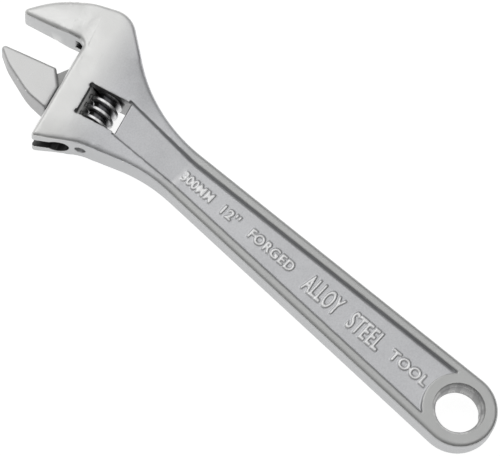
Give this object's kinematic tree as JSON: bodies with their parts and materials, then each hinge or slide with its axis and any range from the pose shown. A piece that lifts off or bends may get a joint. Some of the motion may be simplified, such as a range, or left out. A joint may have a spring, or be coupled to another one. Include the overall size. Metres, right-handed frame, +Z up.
{
  "type": "adjustable wrench",
  "caption": "Forged chrome-plated adjustable wrench with a sliding jaw driven by an adjusting worm, recessed handle panels and a hang hole.",
  "frame": {"origin": "centre of the hang hole on the mid-plane between the wrench's two faces", "axes": "+X along the handle towards the head, +Y towards the sliding jaw's side, +Z up out of the upper face"},
  "size_m": [0.3053, 0.0776, 0.021],
  "materials": {
    "plated_body": "satin chrome plate over forged steel",
    "plated_jaw": "satin chrome plate, ground flat",
    "polished_worm": "polished",
    "bright_screw": "turned",
    "spring_wire": "drawn wire"
  },
  "bodies": {
    "handle": {"wrench_body": "plated_body", "worm_axle_screw": "bright_screw", "worm_spring": "spring_wire"},
    "jaw": {"sliding_jaw": "plated_jaw"},
    "worm": {"adjusting_worm": "polished_worm"}
  },
  "joints": [
    {"name": "jaw_slide", "type": "slide", "parent": "handle", "child": "jaw", "axis": [-0.2588, 0.9659, 0], "range_m": [-0.0184, 0.0154]},
    {"name": "worm_spin", "type": "hinge", "parent": "handle", "child": "worm", "pos_m": [0.22414, 0.00267, 0], "axis": [-0.2588, 0.9659, 0], "range_deg": [-1330, 1114]}
  ],
  "couplings": [
    {"joint": "worm_spin", "follows": "jaw_slide", "rad_per_m": 1256.6}
  ]
}
